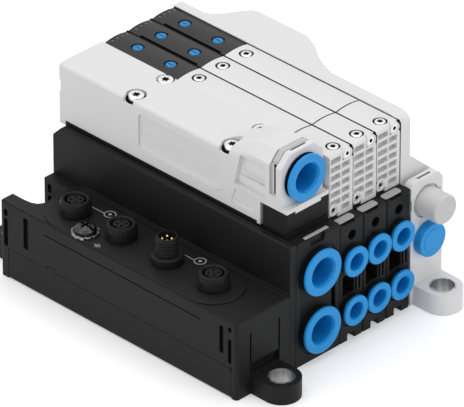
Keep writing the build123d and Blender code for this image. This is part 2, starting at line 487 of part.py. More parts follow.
    # pilot unit at the rear, with a wide groove to its neighbour and the two overrides
    pilot = crowned(x0, x1, COVER_Y + 0.1, DEPTH, foot, PILOT_TOP, PILOT_CROWN)
    edge = [e for e in pilot.edges() if e.center().Y > DEPTH - 0.1 and e.center().Z > PILOT_TOP]
    pilot = chamfer(edge, 0.8)
    pilot -= block(x1 - 0.75, x1 + 1, 80.7, 109.0, PILOT_TOP - 1.0, PILOT_TOP + 1)
    for y in BUTTON_Y:
        pilot -= rod_z(xc - 0.2, y, BUTTON_R + 0.04, BUTTON_TOP - 5.0, BUTTON_TOP + 1)
        pilot -= rod_z(xc - 0.2, y, 2.45, BUTTON_TOP - 0.6, BUTTON_TOP + 1)
    for i in range(4):                                             # windows of the indicator lamps
        x = origin + 3.0 + i * 2.3
        pilot -= block(x - 0.6, x + 0.6, 112.2, 113.6, PILOT_TOP + 0.05, PILOT_TOP + 2)
    save(f"pilot_unit_{n + 1}", pilot)
    for number, y in enumerate(BUTTON_Y, 1):
        low = BUTTON_TOP - 3.8
        stem = turned_z([(0, low), (BUTTON_R, low), (BUTTON_R, BUTTON_TOP - 0.3), (BUTTON_R - 0.25, BUTTON_TOP),
                         (0, BUTTON_TOP)], xc - 0.2, y)
        stem -= block(xc - 0.45, xc + 0.05, y - 1.2, y + 1.2, BUTTON_TOP - 0.5, BUTTON_TOP + 1)
        save(f"override_{n + 1}_{number}", stem)
save("outlet_cartridges", Compound(cartridges))
save("label_strips", Compound(labels))
save("valve_screws", Compound(screws))

# ---- end plate on the right ----------------------------------------------------------
HEAD_X, BULGE_X, REAR_X = X_END + 6.0, X_END + 18.0, X_END + 4.2
END_TOP = 72.8
END_LEFT = X_END + 0.35
END_X = X_END + END_W / 2 + 0.1
foot_block = block(END_LEFT, X_END + END_W, 0, DEPTH, 0, 47.4)
foot_block = fillet(edges_at(foot_block, Axis.Y, x=(X_END + END_W - .1, X_END + END_W + .1), z=(47, 48)), 2.0)
outline = [(END_LEFT, VALVE_FRONT), (HEAD_X - 1.0, VALVE_FRONT), (HEAD_X, VALVE_FRONT + 1.0), (HEAD_X, 43.5),
           (X_END + 8.3, 50.0), (X_END + 11.0, 55.0), (X_END + 15.0, 60.5), (BULGE_X - 1.4, 64.0), (BULGE_X, 67.5),
           (BULGE_X, 91.0), (BULGE_X - 0.9, 93.4), (X_END + 13.0, 96.0), (X_END + 8.5, 98.8),
           (X_END + 5.4, 101.4), (REAR_X, 104.0), (REAR_X, DEPTH), (END_LEFT, DEPTH)]
side = block(X_END, BULGE_X + 1, VALVE_FRONT, DEPTH, 45.0, END_TOP)
side = fillet(edges_at(side, Axis.X, y=(VALVE_FRONT - .1, VALVE_FRONT + .1), z=(END_TOP - .1, END_TOP + .1)), 5.5)
plate = foot_block + (plate_z(outline, 45.0, END_TOP) & side)
# sloping shoulder at the foot of the head, and the flange in front with its clip groove
plate += plate_y([(END_LEFT, 45.0), (71.4, 45.0), (71.4, 47.1), (HEAD_X, 55.6), (END_LEFT, 55.6)], VALVE_FRONT, 66.0)
plate -= block(END_LEFT - 1, X_END + END_W + 1, 3.4, VALVE_FRONT, 45.6, 49.0)
plate += arched_block(END_LEFT + 0.1, 70.9, 0, 3.4, 40.0, 48.9, 2.5)
for side, y in ((-1, MOUNT_Y[0]), (1, MOUNT_Y[1])):
    foot, hole = ear(EAR_X[1], side, EAR_TOP[1])
    plate = plate + foot - hole
# two ports: silencer above, blanked port below
SILENCER_Z, BLANK_Z = 39.4, 24.8
plate -= rod_y(END_X, SILENCER_Z, 5.0, -1, 16.0) + rod_y(END_X, SILENCER_Z, 6.4, -1, 1.2)
plate -= rod_y(END_X, BLANK_Z, 5.6, -1, 16.0)
for y in GALLERY_Y:
    plate -= rod_x(y, GALLERY_Z, GALLERY_R, X_END - 1, X_END + 5)
CLIP_Y = 1.7
plate -= block(60.6, 67.1, CLIP_Y - 0.5, CLIP_Y + 0.5, 47.6, 50.0)
plate -= block(56.1, 56.55, -1, 3.0, 37.9, 42.2) + block(70.1, 70.7, -1, 1.5, 41.2, 42.4)
save("end_plate", plate)
save("end_clip", block(60.65, 67.05, CLIP_Y - 0.45, CLIP_Y + 0.45, 47.62, 48.5))
save("silencer", turned_y([(0, 12.0), (4.98, 12.0), (4.98, 1.15), (5.5, 1.15), (5.5, -8.6), (5.0, -9.2),
                           (0, -9.2)], END_X, SILENCER_Z))
save("blanking_cartridge", turned_y([(4.2, 15.0), (5.58, 15.0), (5.58, -0.03), (6.5, -0.03), (6.5, -0.9),
                                     (4.2, -0.9)], END_X, BLANK_Z))
save("blanking_plug", turned_y([(0, 13.0), (4.17, 13.0), (4.17, -0.95), (6.4, -0.95), (6.4, -3.1),
                                (6.1, -3.4), (4.6, -3.4), (4.4, -3.75), (0, -3.75)], END_X, BLANK_Z))
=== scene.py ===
# %% [markdown]
# # A pneumatic valve island, dressed for the studio
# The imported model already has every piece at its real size.  This lesson gives each piece its finish: rounded
# mould edges, moulded grain, plated steel and gold, and the small marks that a machine builder looks for.
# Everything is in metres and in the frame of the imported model, so no piece is ever fitted by eye.

# %% Load the frame
import json
from math import pi, radians

import bmesh
import bpy
from mathutils import Euler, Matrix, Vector

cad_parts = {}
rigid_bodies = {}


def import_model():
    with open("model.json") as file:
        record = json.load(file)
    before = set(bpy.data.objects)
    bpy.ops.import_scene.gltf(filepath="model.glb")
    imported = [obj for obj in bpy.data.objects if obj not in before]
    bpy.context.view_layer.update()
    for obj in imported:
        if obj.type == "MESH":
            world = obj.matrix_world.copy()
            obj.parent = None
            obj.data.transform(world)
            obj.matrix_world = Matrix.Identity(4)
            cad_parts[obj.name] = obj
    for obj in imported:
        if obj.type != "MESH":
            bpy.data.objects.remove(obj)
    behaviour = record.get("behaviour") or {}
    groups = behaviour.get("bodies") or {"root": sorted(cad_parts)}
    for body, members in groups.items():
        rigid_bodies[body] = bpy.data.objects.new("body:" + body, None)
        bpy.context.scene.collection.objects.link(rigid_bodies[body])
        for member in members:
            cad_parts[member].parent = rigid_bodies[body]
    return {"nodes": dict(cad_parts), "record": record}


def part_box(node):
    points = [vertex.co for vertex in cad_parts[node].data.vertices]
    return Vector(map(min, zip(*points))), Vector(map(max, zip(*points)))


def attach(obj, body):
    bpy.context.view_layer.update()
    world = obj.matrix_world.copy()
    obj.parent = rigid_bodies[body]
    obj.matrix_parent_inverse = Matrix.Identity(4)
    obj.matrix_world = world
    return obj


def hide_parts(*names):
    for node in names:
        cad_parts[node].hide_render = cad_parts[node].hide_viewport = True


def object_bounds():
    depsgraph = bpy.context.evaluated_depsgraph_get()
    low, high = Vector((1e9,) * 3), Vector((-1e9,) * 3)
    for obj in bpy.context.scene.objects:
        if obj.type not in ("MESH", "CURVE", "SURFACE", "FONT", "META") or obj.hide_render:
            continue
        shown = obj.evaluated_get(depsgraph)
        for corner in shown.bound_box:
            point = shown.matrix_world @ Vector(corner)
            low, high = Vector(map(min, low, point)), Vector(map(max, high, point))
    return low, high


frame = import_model()
cad_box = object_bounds()
MM = 0.001
NODES = sorted(frame["nodes"])
BODY = {node: body for body, nodes in frame["record"]["behaviour"]["bodies"].items() for node in nodes}
SLOT = {entry["node"]: entry["material_slot"] for entry in frame["record"]["subparts"]}
print(len(NODES), "pieces in the frame")

# %% [markdown]
# ## Camera
# The object is seen from its front left corner, from above, through a very long lens that stands far away,
# which keeps upright edges upright.  A camera looks along its own -Z, so it is tipped up by 90 degrees less
# the height of the view, then turned about the upright axis.

# %% Camera
VIEW_TURN, VIEW_HEIGHT = -45.187, 31.742         # degrees
VIEW_DISTANCE, VIEW_REACH = 2.6514, 12           # metres to the middle of the view, and to where it ends
VIEW_LENS, SENSOR_WIDTH = 604.4, 36              # millimetres
VIEW_CENTRE = Vector((-0.01935, -0.02125, 0.0479))
turn = Euler((radians(90 - VIEW_HEIGHT), 0, radians(VIEW_TURN)))
stand = VIEW_CENTRE + turn.to_matrix() @ Vector((0, 0, VIEW_DISTANCE))
bpy.ops.object.camera_add(location=stand, rotation=turn)
camera = bpy.context.object
camera.data.sensor_width = SENSOR_WIDTH
camera.data.lens = VIEW_LENS
camera.data.clip_end = VIEW_REACH
bpy.context.scene.camera = camera
bpy.context.scene.view_settings.view_transform = "Standard"
print("camera stands", round(camera.location.length, 3), "m from the origin")

# %% [markdown]
# ## Lamps
# One broad lamp overhead makes the tops the brightest faces, and two wide fills keep the two visible sides
# about equal.

# %% Lamps
def lamp(name, place, aim, size, power):
    facing = (Vector(aim) - Vector(place)).to_track_quat("-Z", "Y").to_euler()
    bpy.ops.object.light_add(type="AREA", location=place, rotation=facing)
    light = bpy.context.object
    light.name = name
    light.data.shape = "SQUARE"
    light.data.size = size
    light.data.energy = power
    print(name, "lamp of", power, "W")


lamp("overhead", (0.1, 0.2, 1.6), (0, 0, 0), size=1.6, power=14.5)
lamp("left_fill", (-1.7, 0.1, 0.7), (0, 0, 0.03), size=1.3, power=6.5)
lamp("front_fill", (0.3, -1.7, 0.7), (0, 0, 0.03), size=1.3, power=7.6)

# %% [markdown]
# ## World and floor
# A ray that looks at the studio, directly or in a reflection, finds a white world and a floor that glows a
# little.  A ray that only lights things finds a darker world and no glow, so the shadows stay.

# %% World
SKY_LIGHT, SKY_SEEN = 0.38, 1.0                  # strength for rays that only light things, and for the rest


def math_node(tree, operation, *values):
    node = tree.nodes.new("ShaderNodeMath")
    node.operation = operation
    for socket, value in zip(node.inputs, values):
        if isinstance(value, (int, float)):
            socket.default_value = value
        else:
            tree.links.new(value, socket)
    return node.outputs[0]


def seen_straight(tree):
    """1 for rays that look at the studio, directly or in a reflection; 0 for rays that only light things."""
    rays = tree.nodes.new("ShaderNodeLightPath")
    seen = rays.outputs["Is Camera Ray"]
    for kind in ("Is Glossy Ray", "Is Transmission Ray"):
        seen = math_node(tree, "MAXIMUM", seen, rays.outputs[kind])
    return seen


world = bpy.context.scene.world or bpy.data.worlds.new("studio")
bpy.context.scene.world = world
world.use_nodes = True
sky = world.node_tree
sky.nodes["Background"].inputs["Color"].default_value = (1, 1, 1, 1)
level = sky.nodes.new("ShaderNodeMapRange")
level.inputs["To Min"].default_value = SKY_LIGHT
level.inputs["To Max"].default_value = SKY_SEEN
sky.links.new(seen_straight(sky), level.inputs["Value"])
sky.links.new(level.outputs["Result"], sky.nodes["Background"].inputs["Strength"])
print("world ready")

# %% Floor
FLOOR_SIZE, FLOOR_GAP = 12, 0.0001               # metres; the gap is below the lowest point of the object
FLOOR_GREY, FLOOR_GLOW = 0.9, 0.32


def blank_material(name):
    """A new material with its node tree and its main shader."""
    material = bpy.data.materials.new(name)
    material.use_nodes = True
    return material, material.node_tree, material.node_tree.nodes["Principled BSDF"]


bpy.ops.mesh.primitive_plane_add(size=FLOOR_SIZE, location=(0, 0, cad_box[0][2] - FLOOR_GAP))
floor = bpy.context.object
floor.name = "floor"
paint, tree, shader = blank_material("studio floor")
shader.inputs["Base Color"].default_value = (FLOOR_GREY, FLOOR_GREY, FLOOR_GREY, 1)
shader.inputs["Roughness"].default_value = 0.9
shader.inputs["Specular IOR Level"].default_value = 0.0
shader.inputs["Emission Color"].default_value = (1, 1, 1, 1)
glow = math_node(tree, "MULTIPLY", seen_straight(tree), FLOOR_GLOW)
tree.links.new(glow, shader.inputs["Emission Strength"])
floor.data.materials.append(paint)
print("floor at", round(floor.location.z, 5))

# %% [markdown]
# ## Moulded plastic
# Moulded plastic is never quite flat: the tool leaves a fine grain that breaks up the gloss, and the colour
# drifts a little over a large face.  Every plastic here wants both, so one shader group makes them from its
# own inputs.

# %% Moulded grain
BROAD_SCALE = 42.0                               # patches of drift in a metre, about


def new_group(name, inputs, outputs):
    group = bpy.data.node_groups.new(name, "ShaderNodeTree")
    for label, value in inputs:
        socket = group.interface.new_socket(label, in_out="INPUT", socket_type="NodeSocketFloat")
        socket.default_value = value
    for label in outputs:
        group.interface.new_socket(label, in_out="OUTPUT", socket_type="NodeSocketFloat")
    return group, group.nodes.new("NodeGroupInput"), group.nodes.new("NodeGroupOutput")


def noise_node(tree, place, scale, detail=3.0):
    node = tree.nodes.new("ShaderNodeTexNoise")
    node.inputs["Detail"].default_value = detail
    tree.links.new(place, node.inputs["Vector"])
    if isinstance(scale, (int, float)):
        node.inputs["Scale"].default_value = scale
    else:
        tree.links.new(scale, node.inputs["Scale"])
    return node.outputs["Fac"]


def swing(tree, noise, amount, around):
    """A noise that swings around a value by an amount."""
    centred = math_node(tree, "SUBTRACT", noise, 0.5)
    return math_node(tree, "ADD", math_node(tree, "MULTIPLY", centred, amount), around)


grain_group, given, made = new_group(
    "moulded_grain", [("Scale", 2600.0), ("Drift", 0.05), ("Roughness", 0.45), ("Spread", 0.08)],
    ["Height", "Tone", "Roughness"])
where = grain_group.nodes.new("ShaderNodeTexCoord").outputs["Object"]
fine = noise_node(grain_group, where, given.outputs["Scale"], 2.0)
broad = noise_node(grain_group, where, BROAD_SCALE)
tone = swing(grain_group, broad, given.outputs["Drift"], 1.0)
gloss = swing(grain_group, fine, given.outputs["Spread"], given.outputs["Roughness"])
for value, label in ((fine, "Height"), (tone, "Tone"), (gloss, "Roughness")):
    grain_group.links.new(value, made.inputs[label])
print("moulded grain ready")


# %% A plastic made from the grain
def tint(tree, colour, tone, shader):
    """The colour times a tone of the node tree becomes the shader's own colour."""
    mix = tree.nodes.new("ShaderNodeMix")
    mix.data_type = "RGBA"
    mix.blend_type = "MULTIPLY"
    mix.inputs["Factor"].default_value = 1.0
    mix.inputs["A"].default_value = (*colour, 1)
    tree.links.new(tone, mix.inputs["B"])
    tree.links.new(mix.outputs["Result"], shader.inputs["Base Color"])


def emboss(tree, height, strength, depth, shader):
    """Bumps that stand depth millimetres high."""
    bump = tree.nodes.new("ShaderNodeBump")
    bump.inputs["Strength"].default_value = strength
    bump.inputs["Distance"].default_value = depth * MM
    tree.links.new(height, bump.inputs["Height"])
    tree.links.new(bump.outputs["Normal"], shader.inputs["Normal"])


def moulded(name, colour, roughness=0.45, grain=2600.0, depth=0.02, drift=0.06, spread=0.08, specular=0.5):
    material, tree, shader = blank_material(name)
    group = tree.nodes.new("ShaderNodeGroup")
    group.node_tree = grain_group
    for label, value in (("Scale", grain), ("Drift", drift), ("Roughness", roughness), ("Spread", spread)):
        group.inputs[label].default_value = value
    tint(tree, colour, group.outputs["Tone"], shader)
    tree.links.new(group.outputs["Roughness"], shader.inputs["Roughness"])
    shader.inputs["Specular IOR Level"].default_value = specular
    emboss(tree, group.outputs["Height"], 0.25, depth, shader)
    return material


print("plastics can be made")

# %% [markdown]
# ## Metals
# Plated steel shows how it was made.  A screw is turned, so its marks run in rings around the axis; a bush is
# rolled from drawn strip, so its marks run along it.  Noise that is squashed one way or the other gives both,
# and it also darkens the metal a little in its valleys, which is painted shade of the marks.

# %% Worked metal
RINGS, LENGTHWAYS = (0.15, 0.15, 1.0), (1.0, 1.0, 0.03)
STREAK_LOW, STREAK_HIGH = 0.3, 0.7               # most of the noise lies between these
STREAK_GLOSS, STREAK_DEPTH = 0.2, 0.01           # swing of the roughness, and millimetres


def worked_metal(name, colour, roughness=0.3, lines=3600.0, marks=RINGS, contrast=0.1):
    material, tree, shader = blank_material(name)
    shader.inputs["Metallic"].default_value = 1.0
    where = tree.nodes.new("ShaderNodeTexCoord").outputs["Object"]
    stretch = tree.nodes.new("ShaderNodeMapping")
    stretch.inputs["Scale"].default_value = marks
    tree.links.new(where, stretch.inputs["Vector"])
    streak = noise_node(tree, stretch.outputs["Vector"], lines)
    # the tone is darker where the streak is low, in the valleys of the marks: painted shade
    tone = tree.nodes.new("ShaderNodeMapRange")
    tone.inputs["From Min"].default_value = STREAK_LOW
    tone.inputs["From Max"].default_value = STREAK_HIGH
    tone.inputs["To Min"].default_value = 1.0 - contrast
    tone.inputs["To Max"].default_value = 1.0 + contrast
    tree.links.new(streak, tone.inputs["Value"])
    tint(tree, colour, tone.outputs["Result"], shader)
    swung = math_node(tree, "MULTIPLY", streak, STREAK_GLOSS)
    rough = math_node(tree, "ADD", swung, roughness - STREAK_GLOSS / 2)
    tree.links.new(rough, shader.inputs["Roughness"])
    emboss(tree, streak, 0.2, STREAK_DEPTH, shader)
    return material


print("metals can be made")

# %% [markdown]
# ## Finishes
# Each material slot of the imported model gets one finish.  A few pieces look unlike the rest of their slot and
# have a finish of their own.

# %% The finishes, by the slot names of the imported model
def grey(value):
    return value, value, value


FINISH = {
    "black_plastic": moulded("black_moulding", grey(0.010), 0.5, drift=0.2, spread=0.12, specular=0.16),
    "black_gloss": moulded("black_cover", grey(0.017), 0.45, grain=3200.0, drift=0.15, specular=0.3),
    "white_plastic": moulded("light_grey_moulding", grey(0.80), 0.5, drift=0.03),
    "silencer_plastic": moulded("sintered_plastic", grey(0.64), 0.8, grain=1500.0, depth=0.12),
    "blue_plastic": moulded("blue_release", (0.009, 0.31, 0.76), 0.42, drift=0.05, specular=0.35),
    "label_plastic": moulded("blank_label", grey(0.42), 0.5),
    "clip_plastic": moulded("dark_clip", grey(0.05), 0.4),
    "steel": worked_metal("plated_steel", grey(0.80), 0.28),
    "contacts": worked_metal("gold_plate", (0.83, 0.60, 0.22), 0.25),
    "spool_metal": worked_metal("turned_aluminium", (0.75, 0.75, 0.76), 0.3),
}
print(len(FINISH), "finishes")

# %% Finishes that only some pieces of a slot have
EXTRA = {
    "grey_clip": moulded("grey_clip", grey(0.55), 0.45),
    # black that paints the shade of narrow gaps, joints, grooves and counterbores
    "seal": moulded("seal_rubber", grey(0.003), 0.8, drift=0.2, specular=0.05),
    # black that paints the shade in the screw recesses and the sockets of the front caps
    "recess": moulded("dark_recess", grey(0.004), 0.7, specular=0.05),
    "lens": moulded("lamp_lens", grey(0.11), 0.25, grain=900.0, specular=0.5),
    "ink": moulded("light_ink", grey(0.42), 0.6, depth=0.005),
    "override": moulded("blue_override", (0.008, 0.25, 0.60), 0.42, specular=0.3),
    # deep blue that paints the shade in the slots of the overrides
    "deep_blue": moulded("deep_blue", (0.004, 0.09, 0.25), 0.5, specular=0.2),
    "dark_steel": worked_metal("blackened_steel", grey(0.06), 0.3, contrast=0.3),
    "washer_steel": worked_metal("washer_steel", grey(0.24), 0.3, contrast=0.3),
    "rolled_steel": worked_metal("rolled_steel", grey(0.48), 0.3, 800.0, LENGTHWAYS, 0.3),
}
OWN_LOOK = {"supply_clip": "grey_clip", "earth_screw": "dark_steel", "earth_washer": "washer_steel",
            "mounting_bushes": "rolled_steel"}
for node in NODES:
    cad = frame["nodes"][node]
    cad.data.materials.clear()
    look = "override" if node.startswith("override") else OWN_LOOK.get(node)
    cad.data.materials.append(EXTRA[look] if look else FINISH[SLOT[node]])
frame["nodes"]["blanking_cartridge"].data.materials[0] = FINISH["blue_plastic"]
print(len(EXTRA), "finishes of single pieces")

# %% [markdown]
# ## Rounded mould edges
# A moulded part has no knife edges, and it is the thin bright line along each rounded edge that makes it read
# as plastic.  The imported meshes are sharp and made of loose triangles, so each housing is copied, its
# triangles are joined back into whole faces, and a bevel runs along every edge that turns sharply.

# %% Picking and copying
def pick_nothing():
    if bpy.context.object and bpy.context.object.mode != "OBJECT":
        bpy.ops.object.mode_set(mode="OBJECT")
    bpy.ops.object.select_all(action="DESELECT")


def pick(piece):
    pick_nothing()
    piece.select_set(True)
    bpy.context.view_layer.objects.active = piece


def copy_of(source):
    """A copy with its own mesh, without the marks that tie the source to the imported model."""
    pick(source)
    bpy.ops.object.duplicate()
    piece = bpy.context.object
    for key in [key for key in piece.keys() if key.startswith("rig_")]:
        del piece[key]
    return piece


print("picking and copying ready")

# %% Rounding helper
LEAST_AGREEMENT = 0.75                           # below this a corner's normal belongs to some other face
SHARP_TURN, SMOOTH_TURN, FLAT_TURN = 35, 38, 1.0        # degrees: bevelled, shaded smooth, joined
SAME_PLACE = 0.000002                            # metres between corners that are one


def even_shading(piece):
    """Lets the large faces set the shading, so that no streaks run out of the rounded edges."""
    weigh = piece.modifiers.new("weigh", "WEIGHTED_NORMAL")
    weigh.weight = 100
    weigh.keep_sharp = True
    bpy.ops.object.modifier_apply(modifier="weigh")
    mesh = piece.data
    normals = [corner.vector.copy() for corner in mesh.corner_normals]
    for face in mesh.polygons:
        for corner in face.loop_indices:
            if face.normal.dot(normals[corner]) < LEAST_AGREEMENT:
                normals[corner] = face.normal.copy()
    mesh.normals_split_custom_set(normals)


def rounded(node, edge, reshape=None, carve=None):
    """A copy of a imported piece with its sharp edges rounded; it replaces that piece.

    Before its edges are rounded, reshape works on the copy in edit mode, and carve cuts other shapes out of
    it.
    """
    piece = copy_of(frame["nodes"][node])
    bpy.ops.object.parent_clear(type="CLEAR_KEEP_TRANSFORM")
    piece.name = node + "_finished"
    bpy.ops.object.mode_set(mode="EDIT")
    bpy.ops.mesh.select_all(action="SELECT")
    bpy.ops.mesh.remove_doubles(threshold=SAME_PLACE)
    bpy.ops.mesh.dissolve_limited(angle_limit=radians(FLAT_TURN))
    if reshape:
        reshape(piece)
    bpy.ops.object.mode_set(mode="OBJECT")
    if carve:
        carve(piece)
    bevel = piece.modifiers.new("edges", "BEVEL")
    bevel.width = edge * MM
    bevel.segments = 2
    bevel.limit_method = "ANGLE"
    bevel.angle_limit = radians(SHARP_TURN)
    bevel.harden_normals = False
    bpy.ops.object.modifier_apply(modifier="edges")
    bpy.ops.object.shade_smooth_by_angle(angle=radians(SMOOTH_TURN))
    even_shading(piece)
    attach(piece, BODY[node])
    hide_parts(node)
    return piece


print("rounding ready")

# %% [markdown]
# ## Places
# The rest of the lesson gives its places in millimetres from one corner of the supply slice, and counts the
# three valve slices from 0.

# %% Places in the row
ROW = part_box("supply_base")[0]                   # left, front, lower corner of the supply slice
PITCH, FIRST = 11.5, 21.3                        # width of a valve slice, and where the first one starts
AXIS = 5.8                                       # middle of a valve's fittings, from the left of its slice
BOTTOM = 47.6                                    # lower edge of the strips of painted shade between the slices
DECK, PLATE = 30.4, 31.1                         # top of the interface and of the plate that lies on it
SLICES = (0, 1, 2)
NEAR, CLOSE = 0.03 * MM, 0.05 * MM               # how exactly a corner that is looked for has to lie


def at(x, y, z):
    """A place in the frame, from millimetres right of, behind and above that corner."""
    return ROW + Vector((x, y, z)) * MM


def slice_left(n):
    """Left side of a valve slice; 3 gives the right side of the last one."""
    return FIRST + PITCH * n


print("supply slice starts at", [round(value, 4) for value in ROW])

# %% Choosing and starting in edit mode
def choose(piece, wanted, kind="verts"):
    """Selects, in edit mode, the verts or faces that wanted(element) is true for."""
    bpy.ops.mesh.select_all(action="DESELECT")
    bpy.ops.mesh.select_mode(type="VERT" if kind == "verts" else "FACE")
    shape = bmesh.from_edit_mesh(piece.data)
    chosen = [element for element in getattr(shape, kind) if wanted(element)]
    for element in chosen:
        element.select_set(True)
    shape.select_flush(True)
    bmesh.update_edit_mesh(piece.data)
    return len(chosen)


def start_block(low, high):
    """A block between two corners, left in edit mode with everything selected."""
    pick_nothing()
    low, high = at(*low), at(*high)
    middle = (low + high) / 2
    bpy.ops.mesh.primitive_cube_add(size=1, location=middle)
    bpy.ops.object.mode_set(mode="EDIT")
    bpy.ops.mesh.select_all(action="SELECT")
    bpy.ops.transform.resize(value=high - low, center_override=middle)
    return bpy.context.object


def start_cylinder(x, y, z, radius, depth, vertices, rotation=(0, 0, 0)):
    """A cylinder whose middle is at x, y, z, left in object mode."""
    pick_nothing()
    bpy.ops.mesh.primitive_cylinder_add(vertices=vertices, radius=radius * MM, depth=depth * MM,
                                        location=at(x, y, z), rotation=rotation)
    return bpy.context.object


def edit_all():
    bpy.ops.object.mode_set(mode="EDIT")
    bpy.ops.mesh.select_all(action="SELECT")


print("blocks and cylinders can be started")

# %% [markdown]
# ## Shapes that only a few pieces need
# Between two pilot units the cover is set back to a wide, deep groove.  It lies in the left shoulder of the
# second and the third unit, so the narrow one at the right of each unit is nearly closed and a block is cut
# from the shoulder.  The port flange of the supply cap and the clip behind it have flat corners at 45
# degrees: two cuts through the upper corners make them, on both pieces alike.

# %% Reshaping in edit mode
NARROW = dict(wall=0.9, front=80.0, rear=110.0, floor=71.0)     # wall is counted from the slice's right side
GROOVE_CLOSE = 0.7                               # how far the wall of the narrow groove moves to the right
GROOVE = dict(wide=1.1, front=80.9, rear=108.8, floor=71.7)
GROOVE_LEFT = 0.15                               # where a pilot unit starts in its slice
CORNER_CUT = 4.5
FLANGE = dict(left=0.55, right=20.75, top=79.9)


def unit_number(piece):
    return int(piece.name.split("_")[2])


def close_groove(piece):
    wall = at(slice_left(unit_number(piece)) - NARROW["wall"], 0, 0).x
    low, rear = at(0, NARROW["front"], NARROW["floor"]), at(0, NARROW["rear"], 0).y
    choose(piece, lambda vert: abs(vert.co.x - wall) < NEAR and low.y < vert.co.y < rear
           and vert.co.z > low.z)
    bpy.ops.transform.translate(value=(GROOVE_CLOSE * MM, 0, 0))


def subtract(piece, cutter):
    """Cuts one object out of another, which is picked afterwards."""
    cut = piece.modifiers.new("cut", "BOOLEAN")
    cut.object = cutter
    cut.operation = "DIFFERENCE"
    cut.solver = "EXACT"
    pick(piece)
    bpy.ops.object.modifier_apply(modifier="cut")


def cut_groove(piece):
    left = slice_left(unit_number(piece) - 1) + GROOVE_LEFT
    cutter = start_block((left - 1, GROOVE["front"], GROOVE["floor"]),
                         (left + GROOVE["wide"], GROOVE["rear"], GROOVE["floor"] + 5))
    bpy.ops.object.mode_set(mode="OBJECT")
    subtract(piece, cutter)
    bpy.data.objects.remove(cutter)


def cut_corners(piece):
    for x, side in ((FLANGE["left"] + CORNER_CUT, -1), (FLANGE["right"] - CORNER_CUT, 1)):
        bpy.ops.mesh.select_all(action="SELECT")
        bpy.ops.mesh.bisect(plane_co=at(x, 0, FLANGE["top"]), plane_no=(side, 0, 1), use_fill=True,
                            clear_outer=True)


print("grooves and corners can be cut")

# %% [markdown]
# The left end plate and the supply cap need more of this.  The end of a ledge on the plate is moved back, so
# that the rounded edges beside it don't overlap.  The screws of the cap sit in counterbores a little wider
# than their heads, its label field has rounded corners and a clear step, and the clip stands free of the
# groove that holds it.

# %% Reshaping the left end plate, the supply cap and its clip
LEDGE = dict(end=0.2, wall=-3.0, low=DECK - 0.1, high=DECK + 0.6, shorter=0.8)
FIELD = dict(front=36.4, rear=76.4, low=54.9, high=69.2, floor=1.0)
FIELD_CORNER, FIELD_STEP = 2.0, 0.5
CAP_SCREW_PLACES = ((4.5, 81.2), (18.7, 81.3), (4.6, 35.0), (18.5, 35.0))
CAP_SEATS = (3.7, 3.3, 3.7, 3.3)                 # radius of the counterbore of each of these screws
CAP_SEAT_Z, CAP_SEAT_DEPTH = 70.7, 10
CLIP_X, CLIP_Y = 10.65, 11.95                    # middle of the clip
CLIP_THIN = 0.86                                 # part of its thickness that is kept


def shorten_ledge(piece):
    """The rounded front edge of the wall needs room in front of the ledge at the wall's foot."""
    end, wall = at(0, LEDGE["end"], 0).y, at(LEDGE["wall"], 0, 0).x
    low, high = at(0, 0, LEDGE["low"]).z, at(0, 0, LEDGE["high"]).z
    moved = choose(piece, lambda vert: abs(vert.co.y - end) < NEAR and vert.co.x < wall + NEAR
                   and low < vert.co.z < high)
    bpy.ops.transform.translate(value=(0, LEDGE["shorter"] * MM, 0))
    print("ledge shortened at", moved, "corners")


def shape_cap(piece):
    cut_corners(piece)
    floor = at(FIELD["floor"], 0, 0).x
    front, rear = at(0, FIELD["front"], 0).y, at(0, FIELD["rear"], 0).y
    low, high = at(0, 0, FIELD["low"]).z, at(0, 0, FIELD["high"]).z

    def in_corner(vert):
        return (min(abs(vert.co.y - front), abs(vert.co.y - rear)) < CLOSE
                and min(abs(vert.co.z - low), abs(vert.co.z - high)) < CLOSE
                and vert.co.x < floor + CLOSE)

    def on_floor(face):
        middle = face.calc_center_median()
        return abs(middle.x - floor) < CLOSE and face.normal.x < -0.9 and front < middle.y < rear

    choose(piece, in_corner)
    bpy.ops.mesh.select_mode(type="EDGE")
    shape = bmesh.from_edit_mesh(piece.data)
    for edge in shape.edges:
        ends = [vert.select for vert in edge.verts]
        across = abs(edge.verts[0].co.x - edge.verts[1].co.x) > CLOSE
        edge.select_set(all(ends) and across)
    bmesh.update_edit_mesh(piece.data)
    bpy.ops.mesh.bevel(offset=FIELD_CORNER * MM, segments=6, affect="EDGES")
    moved = choose(piece, on_floor, "faces")
    bpy.ops.transform.translate(value=(FIELD_STEP * MM, 0, 0))
    print("label field set back,", moved, "face")


def cut_seats(piece):
    for (x, y), radius in zip(CAP_SCREW_PLACES, CAP_SEATS):
        cutter = start_cylinder(x, y, CAP_SEAT_Z + CAP_SEAT_DEPTH / 2, radius, CAP_SEAT_DEPTH, vertices=48)
        subtract(piece, cutter)
        bpy.data.objects.remove(cutter)


def free_clip(piece):
    cut_corners(piece)
    bpy.ops.mesh.select_all(action="SELECT")
    bpy.ops.transform.resize(value=(1, CLIP_THIN, 1), center_override=at(0, CLIP_Y, 0))


print("cap, clip and ledge can be reshaped")

# %% [markdown]
# ## Every moulding
# The width of the rounding, in millimetres, is larger on the large housings than on small parts.

